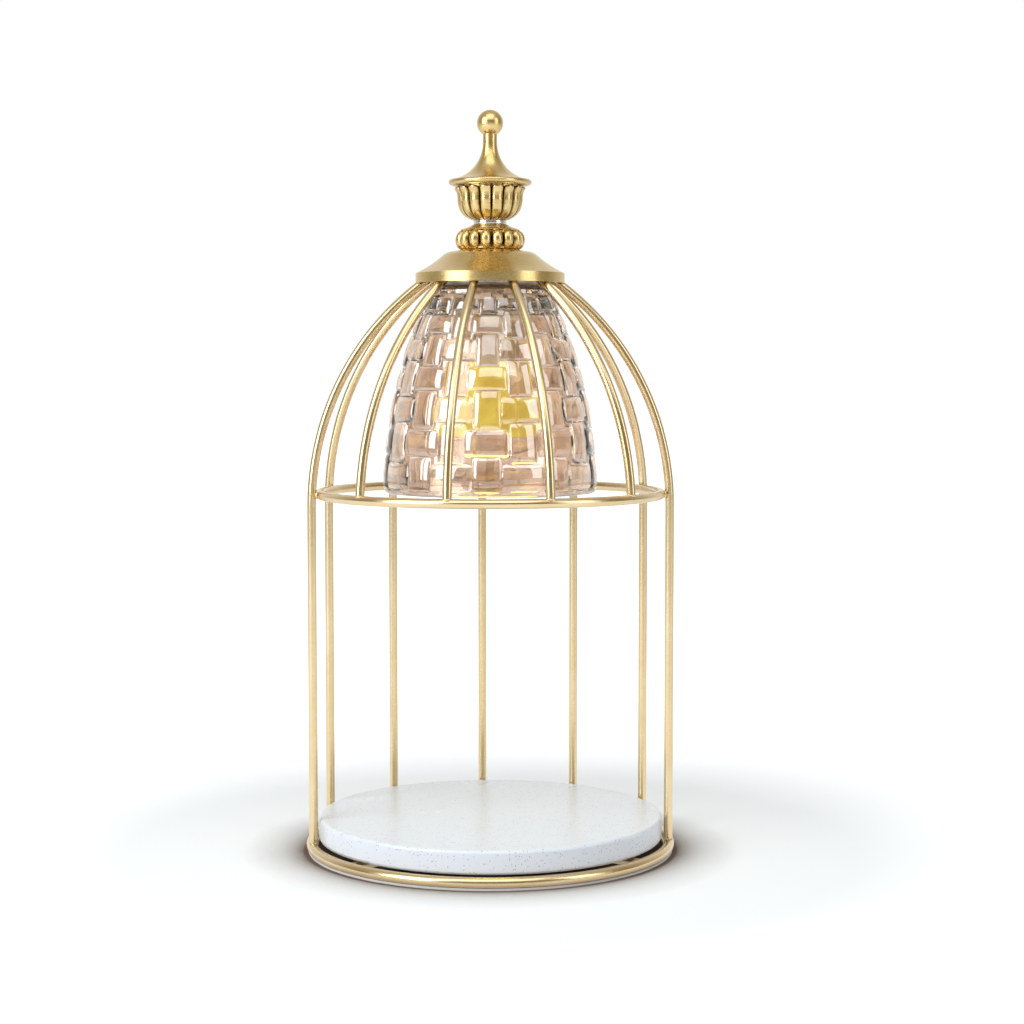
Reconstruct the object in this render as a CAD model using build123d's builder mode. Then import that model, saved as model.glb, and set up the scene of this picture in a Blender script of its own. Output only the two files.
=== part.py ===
from build123d import *
import os
from math import asin, cos, degrees, radians, sin, sqrt

# Candle warmer lamp: a bird-cage frame of bent wire stands on a base ring. A stone plate lies in
# the ring, a glass shade with a reflector bulb hangs from the crown, and a turned finial closes the top.
# Millimetres, +Z up, the open front faces -Y, and the origin is on the floor under the lamp's axis.

os.makedirs("parts", exist_ok=True)

# Clearances
seat_gap = 0.05            # radial gap of a screwed, pressed or glued seat
turn_gap = 0.05            # radial gap of a thread that turns in use
glue_gap = 0.15            # glue film between the foot strip and the base ring
face_gap = 0.3             # gap between faces that never quite meet
weld_bite = 0.3            # depth of the flat where two crossing wires are welded

# Cage
base_diameter = 160.0      # outside of the base ring
base_wire = 4.6
foot_rise = 0.6            # clear strip's thickness under the base ring
foot_width = 3.0
foot_lip = 0.6             # how far the strip reaches up the wire
rib_wire = 3.8
rib_inset = 0.3            # rib centreline inside the base ring's centreline
rib_count = 11             # places round the cage, one of them straight at the back
open_angle = 65.0          # ribs nearer than this to the front stop at the waist ring
bend_height = 149.7        # the legs are straight up to here
bend_radius = 118.5
short_bend_radius = 122.0
waist_wire = 4.0
waist_height = 154.8
cross_wire = 3.6
cross_angle = 52.0         # cross wires' angle from the front
pad_radius = 4.0
pad_place = 58.0
pad_height = 0.4
pad_lip = 0.7

# Stone plate
plate_gap = 0.9            # radial gap to the legs
plate_thickness = 10.0
plate_edge = 1.4

# Crown
crown_radius = 20.0        # the ribs are welded to this rim
crown_rim = 5.2
crown_sheet = 2.0
crown_boss_radius = 14.0
crown_boss_rise = 3.8
lead_notch = 9.0

# Dome cap
dome_radius = 32.0
dome_sheet = 1.0
brim_height = 4.2
cove_rise = 7.4            # from the brim's top to the shoulder
cove_run = 11.4
cove_dip = 0.35            # hollow of the cove
shoulder_run = 5.1
shoulder_rise = 2.0
shoulder_bulge = 0.45

# Turned stack above the dome
tube_radius = 5.0
tube_bore = 3.5
nut_flats = 14.0
nut_height = 3.0
collar_foot_radius = 12.8
collar_foot = 0.9
bead_count = 16
bead_radius = 2.75
bead_circle_radius = 12.3
bead_height = 3.4          # bead centres above the dome
collar_core_radius = 13.2
collar_core = 5.6
collar_slope = 4.7
collar_neck_radius = 7.8
neck_radius = 7.2
neck_height = 2.3
cup_foot_radius = 8.0
cup_radius = 14.2
cup_height = 14.4
cup_lip_radius = 15.2
cup_lip = 3.6
cup_wall = 1.6
flute_count = 16
flute_depth = 0.8
lid_radius = 17.75
lid_rim = 2.6
lid_step = 0.35
lid_step_width = 2.0
lid_boss_radius = 8.0
lid_boss = 9.0
stem_radius = 3.0
lid_sweep = 16.2           # radius of the bell-shaped flare
stem_top = 3.1             # straight stem above the flare
ball_radius = 5.6
stud_radius = 1.5
stud_length = 10.0
thread_end = 1.5           # free depth past the end of a threaded piece

# Shade and its carrier
shade_length = 88.5        # glass top down to the mouth, where the bell is widest
shade_rib_gap = 3.7        # from the ribs' inner side to the glass at its top
shade_bow_radius = 195.0
shade_glass = 3.0
shade_top_glass = 4.0
shade_shoulder = 2.5
shade_drop = 7.45          # crown height down to the glass top
weave_columns = 18         # columns of raised tiles round the glass; wide and tall ones take turns
weave_angle = 15.5         # a column's centre, from the front
weave_depth = 1.4          # the tiles stand this far out of the grooves
weave_bite = 0.4           # how far a tile's block reaches into the wall
weave_first_row = 8.2      # along the outline, from the mouth to the first row's centre
weave_row_ratio = 0.312    # distance between rows over the radius there
mouth_band = 2.0           # smooth rim below the tiles
wide_tile_ratios = (1.136, 0.73)      # width over a column's, height over a row's
tall_tile_ratios = (0.668, 1.17)
carrier_radius = 15.0
carrier_wall = 1.5
carrier_neck = 17.4
carrier_flange_radius = 21.0
carrier_flange = 1.8
carrier_boss_radius = 7.2
carrier_boss = 4.0
glass_play = 0.8           # radial gap between the glass and the carrier's neck
gasket_thickness = 1.0
ring_nut_radius = 20.0
ring_nut_height = 6.0
ring_nut_scallops = 24
scallop_radius = 0.9

# Lamp socket and bulb
socket_radius = 13.0
socket_height = 18.4
slot_plate = 2.6
chamber_radius = 10.0
chamber_height = 7.2
pin_circle = 5.0
pin_radius = 1.5
pin_head_radius = 2.5
pin_neck = 3.4
pin_head = 3.6
pin_play = 0.25
lock_turn = 40.0           # the bulb's twist from its entry holes to its seat
contact_inner_end = 2.8
contact_outer_end = 9.6
contact_width = 3.0
contact_leaf = 0.8
contact_riser = 2.0
screw_radius = 1.5
screw_circle = 10.0
screw_head_radius = 2.6
screw_head = 1.6
screw_depth = 7.0
lead_radius = 0.9
lead_hole_radius = 1.2
lead_place = 8.7           # lead holes' distance from the axis
lead_spread = 1.1          # leads' offset from the bush's axis
lead_bend = 2.2
lead_gap = 2.0             # room for the cord's end behind the bush
bulb_base_radius = 11.8
bulb_base_flats = 17.0
bulb_base_height = 14.0
bulb_length = 46.5
bulb_radius = 25.0
bulb_rim = 3.0
reflector_glass = 1.2
lens_thickness = 1.6
capsule_radius = 4.5
capsule_length = 20.0
reflector_neck_radius = 10.0
reflector_bulge = 3.4      # how far the reflector's curve swells from a straight cone

# Cord bush in the back of the dome
bush_drop = 1.6            # below the crown height
bush_radius = 4.0
bush_bore = 2.8
bush_inner_end = 24.0
spout_radius = 5.0
spout_inner_end = 27.0
spout_outer_end = 34.5
bush_head_radius = 5.0
bush_head = 1.5

# Places worked out from the sizes
base_ring_radius = (base_diameter - base_wire) / 2
base_ring_height = foot_rise + base_wire / 2
rib_radius = base_ring_radius - rib_inset
bend_centre = rib_radius - bend_radius
rib_pitch = 360.0 / rib_count
rib_angles = [180.0 - place * rib_pitch for place in range(rib_count)]
long_angles = sorted((a for a in rib_angles if abs(a) > open_angle), key=abs, reverse=True)
short_angles = [a for a in rib_angles if abs(a) <= open_angle]


def bend_radius_at(height):
    """Radius of a long rib's centreline at a height above the bend."""
    return bend_centre + sqrt(bend_radius**2 - (height - bend_height) ** 2)


crown_height = bend_height + sqrt(bend_radius**2 - (crown_radius - bend_centre) ** 2)
waist_radius = bend_radius_at(waist_height) - (rib_wire + waist_wire) / 2 + weld_bite
crown_rim_bottom = crown_height - crown_rim / 2
crown_rim_top = crown_height + crown_rim / 2
dome_inner_top = crown_rim_top + crown_boss_rise
dome_top = dome_inner_top + dome_sheet
shoulder_radius = dome_radius - cove_run
dome_flat_radius = shoulder_radius - shoulder_run
shoulder_height = dome_top - shoulder_rise
brim_top = shoulder_height - cove_rise
brim_bottom = brim_top - brim_height
neck_bottom = dome_top + collar_foot + collar_core + collar_slope
cup_bottom = neck_bottom + neck_height
lid_bottom = cup_bottom + cup_height
lid_rim_top = lid_bottom + lid_rim
stem_end = lid_rim_top + lid_sweep + stem_top
ball_centre = stem_end + sqrt(ball_radius**2 - stem_radius**2)
shade_top = crown_height - shade_drop
flange_bottom = shade_top + gasket_thickness
flange_top = flange_bottom + carrier_flange
ring_nut_top = shade_top - shade_top_glass - gasket_thickness
ring_nut_bottom = ring_nut_top - ring_nut_height
socket_bottom = flange_bottom - socket_height
chamber_bottom = socket_bottom + slot_plate
chamber_top = chamber_bottom + chamber_height
bulb_top = socket_bottom - face_gap
pin_head_bottom = bulb_top + pin_neck
contact_bottom = pin_head_bottom + pin_head + face_gap
bulb_face = bulb_top - bulb_length
bulb_rim_top = bulb_face + bulb_rim
bulb_base_bottom = bulb_top - bulb_base_height
bush_angle = 180.0 - rib_pitch / 2
bush_height = crown_height - bush_drop
bush_outer_end = spout_outer_end + bush_head
tube_end = lid_bottom + thread_end
cross_top = base_ring_height + cross_wire / 2
plate_bottom = cross_top + pad_height
plate_radius = rib_radius - rib_wire / 2 - plate_gap
shade_mouth_height = shade_top - shade_length
shade_top_radius = bend_radius_at(shade_top) - rib_wire / 2 - shade_rib_gap
shade_bow_centre = shade_top_radius - sqrt(shade_bow_radius**2 - shade_length**2)
shade_mouth_radius = shade_bow_centre + shade_bow_radius


def shade_radius_at(height, inset=0.0):
    """Outside radius of the glass at a height, or of a surface set in from it."""
    bow = shade_bow_radius - inset
    return shade_bow_centre + sqrt(bow**2 - (height - shade_mouth_height) ** 2)


def shade_point(along, inset=0.0):
    """Radius and height at a distance along the glass's outline from the mouth, or set in from it."""
    turn = along / shade_bow_radius
    reach = shade_bow_radius - inset
    return (shade_bow_centre + reach * cos(turn), shade_mouth_height + reach * sin(turn))


def outward(angle):
    """Horizontal direction at an angle from the front, anticlockwise seen from above."""
    return Vector(sin(radians(angle)), -cos(radians(angle)), 0)


def upright(angle):
    """Upright plane through the lamp's axis: local X runs outward, local Y runs up."""
    return Plane(origin=(0, 0, 0), x_dir=outward(angle), z_dir=outward(angle).cross(Vector(0, 0, 1)))


def facing(angle, distance, height):
    """Plane that faces outward, at a distance from the axis: local X runs sideways, local Y runs up."""
    return Plane(
        origin=outward(angle) * distance + Vector(0, 0, height),
        x_dir=outward(angle + 90),
        z_dir=outward(angle),
    )


def across(angle, distance, height):
    """Upright plane across a ring, at a distance from the axis."""
    return Plane(origin=outward(angle) * distance + Vector(0, 0, height), z_dir=outward(angle + 90))


def entry_place(side):
    """Centre of the hole where a pin's head goes in, a lock turn back from its seat."""
    return (pin_circle * cos(radians(side - lock_turn)), pin_circle * sin(radians(side - lock_turn)))


# ---- Base ring, with the clear strip under it ----

with BuildPart() as base_ring:
    with BuildSketch(Plane.XZ):
        with Locations((base_ring_radius, base_ring_height)):
            Circle(base_wire / 2)
    revolve(axis=Axis.Z)

base_ring.part.label = "base_ring"
export_step(base_ring.part, "parts/base_ring.step")

with BuildPart() as foot_strip:
    with BuildSketch(Plane.XZ):
        with Locations((base_ring_radius, (foot_rise + foot_lip) / 2)):
            Rectangle(foot_width, foot_rise + foot_lip)
        with Locations((base_ring_radius, base_ring_height)):
            Circle(base_wire / 2 + glue_gap, mode=Mode.SUBTRACT)
    revolve(axis=Axis.Z)

foot_strip.part.label = "foot_strip"
export_step(foot_strip.part, "parts/foot_strip.step")

# ---- Cross wires that carry the plate: one right across, two halves welded to it ----

with BuildPart() as cross_wire_long:
    with BuildSketch(facing(cross_angle, -base_ring_radius, base_ring_height)):
        Circle(cross_wire / 2)
    extrude(amount=2 * base_ring_radius)
    add(base_ring.part, mode=Mode.SUBTRACT)

cross_wire_long.part.label = "cross_wire_long"
export_step(cross_wire_long.part, "parts/cross_wire_long.step")

for name, angle in (("front", -cross_angle), ("rear", 180.0 - cross_angle)):
    with BuildPart() as cross_wire_half:
        with BuildSketch(facing(angle, 0, base_ring_height)):
            Circle(cross_wire / 2)
        extrude(amount=base_ring_radius)
        add(base_ring.part, mode=Mode.SUBTRACT)
        add(cross_wire_long.part, mode=Mode.SUBTRACT)
        half = cross_wire_half.part.solids().sort_by(SortBy.VOLUME)[-1]

    with BuildPart() as trimmed_half:
        add(half)

    trimmed_half.part.label = f"cross_wire_{name}"
    export_step(trimmed_half.part, f"parts/cross_wire_{name}.step")

pad_angles = (cross_angle, 180.0 - cross_angle, -cross_angle, cross_angle - 180.0)
with BuildPart() as plate_pads:
    with BuildSketch(Plane.XY.offset(plate_bottom - pad_height - pad_lip)):
        with Locations(*[outward(angle) * pad_place for angle in pad_angles]):
            Circle(pad_radius)
    extrude(amount=pad_height + pad_lip)
    for angle in pad_angles:
        with BuildSketch(facing(angle, 0, base_ring_height)):
            Circle(cross_wire / 2 + seat_gap)
        extrude(amount=base_ring_radius, mode=Mode.SUBTRACT)

plate_pads.part.label = "plate_pads"
export_step(plate_pads.part, "parts/plate_pads.step")

# ---- Stone plate ----

with BuildPart() as stone_plate:
    with BuildSketch(Plane.XY.offset(plate_bottom)):
        Circle(plate_radius)
    extrude(amount=plate_thickness)
    fillet(stone_plate.edges().filter_by(GeomType.CIRCLE), radius=plate_edge)

stone_plate.part.label = "stone_plate"
export_step(stone_plate.part, "parts/stone_plate.step")

# ---- Waist ring, with a small flat where each long rib is welded to it ----

with BuildPart() as waist_ring:
    with BuildSketch(Plane.XZ):
        with Locations((waist_radius, waist_height)):
            Circle(waist_wire / 2)
    revolve(axis=Axis.Z)
    seats = [outward(a) * bend_radius_at(waist_height) + Vector(0, 0, waist_height) for a in long_angles]
    with Locations(*seats):
        Cylinder(rib_wire / 2 + seat_gap, 2 * waist_wire, mode=Mode.SUBTRACT)

waist_ring.part.label = "waist_ring"
export_step(waist_ring.part, "parts/waist_ring.step")

# ---- Ribs of bent wire ----

long_ribs = []
bow_angle = degrees(asin((crown_height - bend_height) / bend_radius))
for number, angle in enumerate(long_angles, start=1):
    with BuildPart() as long_rib:
        with BuildLine(upright(angle)) as path:
            leg = Line((rib_radius, base_ring_height), (rib_radius, bend_height))
            JernArc(start=leg @ 1, tangent=leg % 1, radius=bend_radius, arc_size=bow_angle + 1.0)
        with BuildSketch(Plane(origin=leg @ 0, z_dir=leg % 0)):
            Circle(rib_wire / 2)
        sweep()
        with BuildSketch(across(angle, base_ring_radius, base_ring_height)):
            Circle(base_wire / 2 + seat_gap)
        extrude(amount=rib_wire, both=True, mode=Mode.SUBTRACT)
        with Locations((0, 0, crown_height)):
            Cylinder(crown_radius + seat_gap, 4 * crown_rim, mode=Mode.SUBTRACT)

    long_rib.part.label = f"long_rib_{number}"
    export_step(long_rib.part, f"parts/long_rib_{number}.step")
    long_ribs.append(long_rib.part)

short_ribs = []
for number, angle in enumerate(short_angles, start=1):
    with BuildPart() as short_rib:
        with BuildLine(upright(angle)) as path:
            bow = RadiusArc(
                (waist_radius, waist_height),
                (crown_radius - rib_wire / 2, crown_height + rib_wire / 4),
                -short_bend_radius,
            )
        with BuildSketch(Plane(origin=bow @ 0, z_dir=bow % 0)):
            Circle(rib_wire / 2)
        sweep()
        with BuildSketch(across(angle, waist_radius, waist_height)):
            Circle(waist_wire / 2 + seat_gap)
        extrude(amount=rib_wire, both=True, mode=Mode.SUBTRACT)
        with Locations((0, 0, crown_height)):
            Cylinder(crown_radius + seat_gap, 4 * crown_rim, mode=Mode.SUBTRACT)

    short_rib.part.label = f"short_rib_{number}"
    export_step(short_rib.part, f"parts/short_rib_{number}.step")
    short_ribs.append(short_rib.part)

# ---- Crown hub: a stepped pressed cup that the ribs are welded to ----

with BuildPart() as crown_hub:
    with BuildSketch(Plane.XZ):
        with BuildLine():
            Polyline(
                (crown_radius, crown_rim_bottom),
                (crown_radius, crown_rim_top),
                (crown_boss_radius, crown_rim_top),
                (crown_boss_radius, dome_inner_top),
                (tube_radius + seat_gap, dome_inner_top),
                (tube_radius + seat_gap, dome_inner_top - crown_sheet),
                (crown_boss_radius - crown_sheet, dome_inner_top - crown_sheet),
                (crown_boss_radius - crown_sheet, crown_rim_top - crown_sheet),
                (crown_radius - crown_sheet, crown_rim_top - crown_sheet),
                (crown_radius - crown_sheet, crown_rim_bottom),
                close=True,
            )
        make_face()
    revolve(axis=Axis.Z)
    with BuildSketch(facing(bush_angle, 0, (crown_rim_bottom + crown_rim_top - crown_sheet) / 2)):
        Rectangle(lead_notch, crown_rim - crown_sheet)
    extrude(amount=2 * crown_radius, mode=Mode.SUBTRACT)

crown_hub.part.label = "crown_hub"
export_step(crown_hub.part, "parts/crown_hub.step")

# ---- Dome cap: pressed sheet with a short spout for the cord bush, scalloped over the ribs ----

with BuildPart() as dome_cap:
    with BuildSketch(Plane.XZ):
        with BuildLine():
            brim = Line((dome_radius, brim_bottom), (dome_radius, brim_top))
            cove = ThreePointArc(
                brim @ 1,
                (dome_radius - cove_run / 2 - cove_dip, brim_top + cove_rise / 2 - cove_dip),
                (shoulder_radius, shoulder_height),
            )
            shoulder = ThreePointArc(
                cove @ 1,
                (
                    shoulder_radius - shoulder_run / 2 + shoulder_bulge / 2,
                    shoulder_height + shoulder_rise / 2 + shoulder_bulge,
                ),
                (dome_flat_radius, dome_top),
            )
            Polyline(
                shoulder @ 1,
                (tube_radius + seat_gap, dome_top),
                (tube_radius + seat_gap, dome_inner_top),
                (dome_flat_radius, dome_inner_top),
            )
            inner_shoulder = ThreePointArc(
                (dome_flat_radius, dome_inner_top),
                (
                    shoulder_radius - shoulder_run / 2 + shoulder_bulge / 2 - dome_sheet / 2,
                    shoulder_height + shoulder_rise / 2 + shoulder_bulge - dome_sheet,
                ),
                (shoulder_radius - dome_sheet / 2, shoulder_height - dome_sheet),
            )
            inner_cove = ThreePointArc(
                inner_shoulder @ 1,
                (
                    dome_radius - cove_run / 2 - cove_dip - dome_sheet * 0.7,
                    brim_top + cove_rise / 2 - cove_dip - dome_sheet,
                ),
                (dome_radius - dome_sheet, brim_top - dome_sheet / 2),
            )
            Polyline(inner_cove @ 1, (dome_radius - dome_sheet, brim_bottom), (dome_radius, brim_bottom))
        make_face()
    revolve(axis=Axis.Z)
    with BuildSketch(facing(bush_angle, spout_inner_end, bush_height)):
        Circle(spout_radius)
    extrude(amount=spout_outer_end - spout_inner_end)
    with BuildSketch(facing(bush_angle, bush_inner_end - bush_head, bush_height)):
        Circle(bush_radius + seat_gap)
    extrude(amount=2 * dome_radius, mode=Mode.SUBTRACT)
    for rib in long_ribs + short_ribs:
        add(rib, mode=Mode.SUBTRACT)

dome_cap.part.label = "dome_cap"
export_step(dome_cap.part, "parts/dome_cap.step")

# ---- Cord bush ----

with BuildPart() as cord_bush:
    with BuildSketch(facing(bush_angle, bush_inner_end, bush_height)):
        Circle(bush_radius)
    extrude(amount=spout_outer_end - bush_inner_end)
    with BuildSketch(facing(bush_angle, spout_outer_end, bush_height)):
        Circle(bush_head_radius)
    extrude(amount=bush_head)
    with BuildSketch(facing(bush_angle, bush_inner_end, bush_height)):
        Circle(bush_bore)
    extrude(amount=bush_outer_end - bush_inner_end, mode=Mode.SUBTRACT)

cord_bush.part.label = "cord_bush"
export_step(cord_bush.part, "parts/cord_bush.step")

# ---- Threaded tube and nut that clamp the crown together ----

with BuildPart() as threaded_tube:
    with BuildSketch(Plane.XY.offset(flange_bottom)):
        Circle(tube_radius)
        Circle(tube_bore, mode=Mode.SUBTRACT)
    extrude(amount=tube_end - flange_bottom)

threaded_tube.part.label = "threaded_tube"
export_step(threaded_tube.part, "parts/threaded_tube.step")

with BuildPart() as tube_nut:
    with BuildSketch(Plane.XY.offset(dome_inner_top - crown_sheet - nut_height)):
        RegularPolygon(nut_flats / 2, 6, major_radius=False)
        Circle(tube_radius + seat_gap, mode=Mode.SUBTRACT)
    extrude(amount=nut_height)

tube_nut.part.label = "tube_nut"
export_step(tube_nut.part, "parts/tube_nut.step")

# ---- Beaded collar ----

collar_bottom = dome_top
core_bottom = collar_bottom + collar_foot
core_top = core_bottom + collar_core
with BuildPart() as beaded_collar:
    with BuildSketch(Plane.XZ):
        with BuildLine():
            Polyline(
                (tube_radius + seat_gap, collar_bottom),
                (collar_foot_radius, collar_bottom),
                (collar_foot_radius, core_bottom),
                (collar_core_radius, core_bottom),
                (collar_core_radius, core_top),
                (collar_neck_radius, neck_bottom),
                (tube_radius + seat_gap, neck_bottom),
                close=True,
            )
        make_face()
    revolve(axis=Axis.Z)
    with Locations((0, 0, collar_bottom + bead_height)):
        with PolarLocations(bead_circle_radius, bead_count):
            Sphere(bead_radius)

beaded_collar.part.label = "beaded_collar"
export_step(beaded_collar.part, "parts/beaded_collar.step")

# ---- Neck ring ----

with BuildPart() as neck_ring:
    with BuildSketch(Plane.XY.offset(neck_bottom)):
        Circle(neck_radius)
        Circle(tube_radius + seat_gap, mode=Mode.SUBTRACT)
    extrude(amount=neck_height)
    fillet(neck_ring.edges().filter_by(GeomType.CIRCLE).sort_by(SortBy.RADIUS)[-2:], radius=neck_height / 3)

neck_ring.part.label = "neck_ring"
export_step(neck_ring.part, "parts/neck_ring.step")

# ---- Fluted cup ----

lip_bottom = lid_bottom - cup_lip
cup_floor = cup_bottom + 2 * cup_wall
with BuildPart() as flute_cutter:
    with BuildLine(Plane.XZ) as groove:
        EllipticalCenterArc(
            (cup_foot_radius, lip_bottom),
            cup_radius - cup_foot_radius,
            lip_bottom - cup_bottom,
            start_angle=285,
            arc_size=75,
        )
    with BuildSketch(Plane(origin=groove.line @ 0, z_dir=groove.line % 0)):
        Circle(flute_depth)
    sweep()

with BuildPart() as fluted_cup:
    with BuildSketch(Plane.XZ):
        with BuildLine():
            bowl = EllipticalCenterArc(
                (cup_foot_radius, lip_bottom),
                cup_radius - cup_foot_radius,
                lip_bottom - cup_bottom,
                start_angle=270,
                arc_size=90,
            )
            Polyline(
                bowl @ 1,
                (cup_lip_radius, lip_bottom),
                (cup_lip_radius, lid_bottom),
                (cup_radius - cup_wall, lid_bottom),
                (cup_radius - cup_wall, lip_bottom),
            )
            hollow = EllipticalCenterArc(
                (cup_foot_radius, lip_bottom),
                cup_radius - cup_wall - cup_foot_radius,
                lip_bottom - cup_floor,
                start_angle=270,
                arc_size=90,
            )
            Polyline(
                hollow @ 0,
                (tube_radius + seat_gap, cup_floor),
                (tube_radius + seat_gap, cup_bottom),
                bowl @ 0,
            )
        make_face()
    revolve(axis=Axis.Z)
    with PolarLocations(0, flute_count):
        add(flute_cutter.part, mode=Mode.SUBTRACT)

fluted_cup.part.label = "fluted_cup"
export_step(fluted_cup.part, "parts/fluted_cup.step")

# ---- Finial lid with its stem, and the ball screwed onto it ----

stem_foot = lid_rim_top + lid_sweep
with BuildPart() as finial_lid:
    with BuildSketch(Plane.XZ):
        with BuildLine():
            Polyline(
                (lid_boss_radius, lid_bottom - lid_boss),
                (lid_boss_radius, lid_bottom),
                (lid_radius - lid_step_width, lid_bottom),
                (lid_radius - lid_step_width, lid_bottom + lid_step),
                (lid_radius - lid_rim / 2, lid_bottom + lid_step),
            )
            bead = ThreePointArc(
                (lid_radius - lid_rim / 2, lid_bottom + lid_step),
                (lid_radius, (lid_bottom + lid_step + lid_rim_top) / 2),
                (lid_radius - lid_rim / 2, lid_rim_top),
            )
            flare = RadiusArc(bead @ 1, (stem_radius, stem_foot), lid_sweep)
            Polyline(
                flare @ 1,
                (stem_radius, stem_end),
                (stud_radius + seat_gap, stem_end),
                (stud_radius + seat_gap, stem_end - stud_length / 2 - thread_end),
                (0, stem_end - stud_length / 2 - thread_end),
                (0, tube_end + thread_end),
                (tube_radius + seat_gap, tube_end + thread_end),
                (tube_radius + seat_gap, lid_bottom - lid_boss),
                (lid_boss_radius, lid_bottom - lid_boss),
            )
        make_face()
    revolve(axis=Axis.Z)

finial_lid.part.label = "finial_lid"
export_step(finial_lid.part, "parts/finial_lid.step")

with BuildPart() as finial_ball:
    with Locations((0, 0, ball_centre)):
        Sphere(ball_radius)
    with Locations((0, 0, stem_end)):
        Cylinder(
            ball_radius, ball_radius, align=(Align.CENTER, Align.CENTER, Align.MAX), mode=Mode.SUBTRACT
        )
        Cylinder(
            stud_radius + seat_gap,
            stud_length / 2 + thread_end,
            align=(Align.CENTER, Align.CENTER, Align.MIN),
            mode=Mode.SUBTRACT,
        )

finial_ball.part.label = "finial_ball"
export_step(finial_ball.part, "parts/finial_ball.step")

with BuildPart() as ball_stud:
    with BuildSketch(Plane.XY.offset(stem_end - stud_length / 2)):
        Circle(stud_radius)
    extrude(amount=stud_length)

ball_stud.part.label = "ball_stud"
export_step(ball_stud.part, "parts/ball_stud.step")

# ---- Carrier: a flanged cup on the tube's lower end, threaded outside for the shade ring nut ----

with BuildPart() as shade_carrier:
    with BuildSketch(Plane.XY.offset(flange_bottom)):
        Circle(carrier_flange_radius)
    extrude(amount=carrier_flange)
    with BuildSketch(Plane.XY.offset(flange_top)):
        Circle(carrier_boss_radius)
    extrude(amount=carrier_boss)
    with BuildSketch(Plane.XY.offset(flange_bottom - carrier_neck)):
        Circle(carrier_radius)
        Circle(carrier_radius - carrier_wall, mode=Mode.SUBTRACT)
    extrude(amount=carrier_neck)
    with Locations((0, 0, flange_bottom)):
        Cylinder(tube_radius + seat_gap, 4 * carrier_boss, mode=Mode.SUBTRACT)
        with Locations((0, screw_circle), (0, -screw_circle)):
            Cylinder(screw_radius + seat_gap, 4 * carrier_flange, mode=Mode.SUBTRACT)
        with Locations((lead_place, 0), (-lead_place, 0)):
            Cylinder(lead_hole_radius, 4 * carrier_flange, mode=Mode.SUBTRACT)

shade_carrier.part.label = "shade_carrier"
export_step(shade_carrier.part, "parts/shade_carrier.step")

# ---- Ceramic lamp socket ----

with BuildPart() as lamp_socket:
    with BuildSketch(Plane.XY.offset(socket_bottom)):
        Circle(socket_radius)
    extrude(amount=socket_height)
    with BuildSketch(Plane.XY.offset(chamber_bottom)):
        Circle(chamber_radius)
    extrude(amount=chamber_height, mode=Mode.SUBTRACT)
    with BuildSketch(Plane.XY.offset(socket_bottom)):
        for side in (0, 180):
            SlotArc(
                CenterArc((0, 0), pin_circle, side - lock_turn, lock_turn),
                2 * (pin_radius + pin_play),
            )
            with Locations(entry_place(side)):
                Circle(pin_head_radius + pin_play)
    extrude(amount=slot_plate, mode=Mode.SUBTRACT)
    with Locations((0, 0, flange_bottom)):
        with Locations((0, screw_circle), (0, -screw_circle)):
            Cylinder(
                screw_radius + seat_gap,
                screw_depth,
                align=(Align.CENTER, Align.CENTER, Align.MAX),
                mode=Mode.SUBTRACT,
            )
        with Locations((lead_place, 0), (-lead_place, 0)):
            Cylinder(
                lead_hole_radius,
                flange_bottom - chamber_top,
                align=(Align.CENTER, Align.CENTER, Align.MAX),
                mode=Mode.SUBTRACT,
            )

lamp_socket.part.label = "lamp_socket"
export_step(lamp_socket.part, "parts/lamp_socket.step")

with BuildPart() as socket_screws:
    with BuildSketch(Plane.XY.offset(flange_bottom - screw_depth)):
        with Locations((0, screw_circle), (0, -screw_circle)):
            Circle(screw_radius)
    extrude(amount=screw_depth + carrier_flange)
    with BuildSketch(Plane.XY.offset(flange_top)):
        with Locations((0, screw_circle), (0, -screw_circle)):
            Circle(screw_head_radius)
    extrude(amount=screw_head)

socket_screws.part.label = "socket_screws"
export_step(socket_screws.part, "parts/socket_screws.step")

with BuildPart() as socket_contacts:
    for turn in (0, 180):
        with BuildSketch(Plane.XZ.rotated((0, 0, turn))):
            with BuildLine():
                Polyline(
                    (contact_inner_end, contact_bottom),
                    (contact_outer_end, contact_bottom),
                    (contact_outer_end, chamber_top),
                    (contact_outer_end - contact_riser, chamber_top),
                    (contact_outer_end - contact_riser, contact_bottom + contact_leaf),
                    (contact_inner_end, contact_bottom + contact_leaf),
                    close=True,
                )
            make_face()
        extrude(amount=contact_width / 2, both=True)

socket_contacts.part.label = "socket_contacts"
export_step(socket_contacts.part, "parts/socket_contacts.step")

# ---- Socket leads, from the cord bush through the hub's notch to the contacts ----

bush_end = outward(bush_angle) * (bush_inner_end - lead_gap)
bush_side = outward(bush_angle + 90) * lead_spread
lead_routes = {
    "near": [(8.2, 14.0), (lead_place, 0)],
    "far": [(3.9, 17.6), (-5.8, 11.5), (-lead_place, 0)],
}
for name, route in lead_routes.items():
    start = bush_end - bush_side if name == "near" else bush_end + bush_side
    with BuildPart() as socket_lead:
        with BuildLine() as path:
            FilletPolyline(
                (start.X, start.Y, bush_height),
                *[(x, y, bush_height) for x, y in route],
                (route[-1][0], 0, chamber_top),
                radius=lead_bend,
            )
        with BuildSketch(Plane(origin=path.line @ 0, z_dir=path.line % 0)):
            Circle(lead_radius)
        sweep()

    socket_lead.part.label = f"socket_lead_{name}"
    export_step(socket_lead.part, f"parts/socket_lead_{name}.step")

# ---- Glass shade, its gaskets and its ring nut ----

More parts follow.
